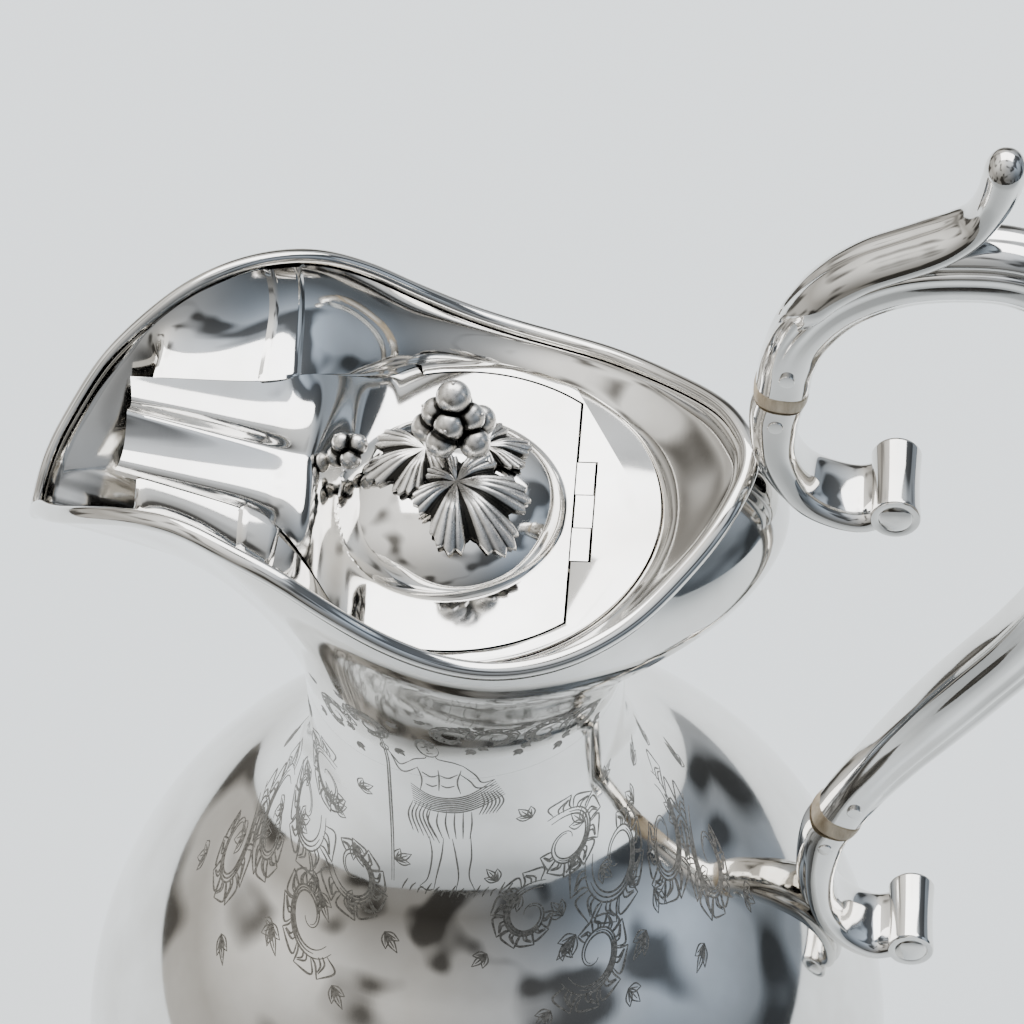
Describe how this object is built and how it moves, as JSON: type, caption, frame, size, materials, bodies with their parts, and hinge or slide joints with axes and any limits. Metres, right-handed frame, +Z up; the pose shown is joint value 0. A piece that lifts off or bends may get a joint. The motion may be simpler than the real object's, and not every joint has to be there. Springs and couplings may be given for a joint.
{
  "type": "covered water pitcher",
  "caption": "Footed silver pitcher with a helmet-shaped mouth, a hinged lid with a covered spout and grape finial, and an insulated scroll handle.",
  "frame": {"origin": "bottom centre of the whole pitcher: on the table, midway between the front of the body and the back of the handle", "axes": "+Z up, spout towards -X, handle at +X, the lid's hinge runs along Y"},
  "size_m": [0.2282, 0.178, 0.3853],
  "materials": {
    "silver": "polished silver",
    "oxidised_silver": "cast silver, darkened in the recesses",
    "insulator": "ivory-coloured insulating disc"
  },
  "bodies": {
    "pitcher": {"body": "silver", "mouth_shell": "silver", "mouth_liner": "silver", "rim_moulding": "silver", "mouth_plate": "silver", "lid_rest_far": "silver", "lid_rest_near": "silver", "plate_knuckle": "silver", "hinge_pin": "silver", "foot_collar": "silver", "foot_dome": "silver", "foot_rim": "silver", "handle": "silver", "thumb_leaf": "silver", "upper_scroll": "silver", "lower_scroll": "silver", "upper_insulator": "insulator", "lower_insulator": "insulator", "upper_pin_top": "silver", "upper_pin_bottom": "silver", "lower_pin_top": "silver", "lower_pin_bottom": "silver"},
    "lid": {"lid": "silver", "lid_knuckle_near": "silver", "lid_knuckle_far": "silver", "finial_stud": "oxidised_silver", "finial_nut": "silver", "finial_grapes": "oxidised_silver", "small_grapes": "oxidised_silver", "leaf_near": "oxidised_silver", "leaf_spout": "oxidised_silver", "leaf_far": "oxidised_silver"}
  },
  "joints": [
    {"name": "lid_hinge", "type": "hinge", "parent": "pitcher", "child": "lid", "pos_m": [0.0006, 0, 0.2837], "axis": [0, 1, 0], "range_deg": [0, 60]}
  ]
}
